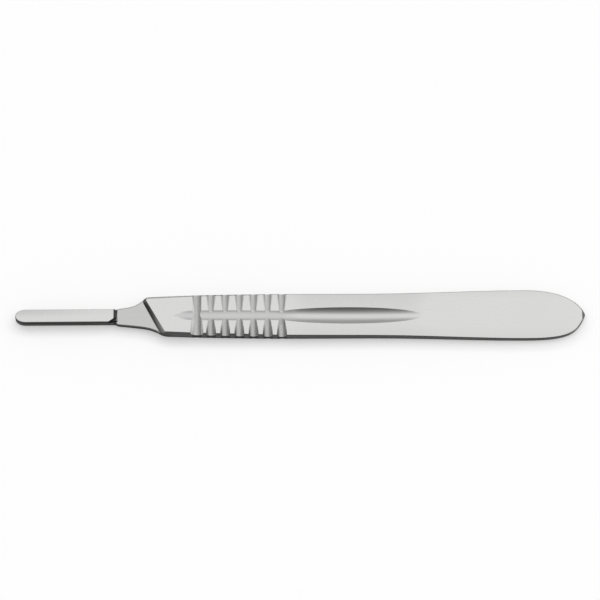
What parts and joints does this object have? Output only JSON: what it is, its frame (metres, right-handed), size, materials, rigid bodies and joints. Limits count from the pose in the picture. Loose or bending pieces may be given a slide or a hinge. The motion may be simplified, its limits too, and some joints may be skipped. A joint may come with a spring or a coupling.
{
  "type": "scalpel handle",
  "caption": "Flat stainless steel scalpel handle with a blade fitting, a grooved grip, a long finger hollow and a rounded tail.",
  "frame": {"origin": "middle of the length and width, on the flat back face", "axes": "+X along the handle from the blade fitting to the tail, +Y across it, +Z out of the front face"},
  "size_m": [0.135, 0.0122, 0.0033],
  "materials": {
    "steel": "satin ground stainless steel with fine lengthwise lines"
  },
  "bodies": {
    "root": {"handle": "steel"}
  },
  "joints": []
}
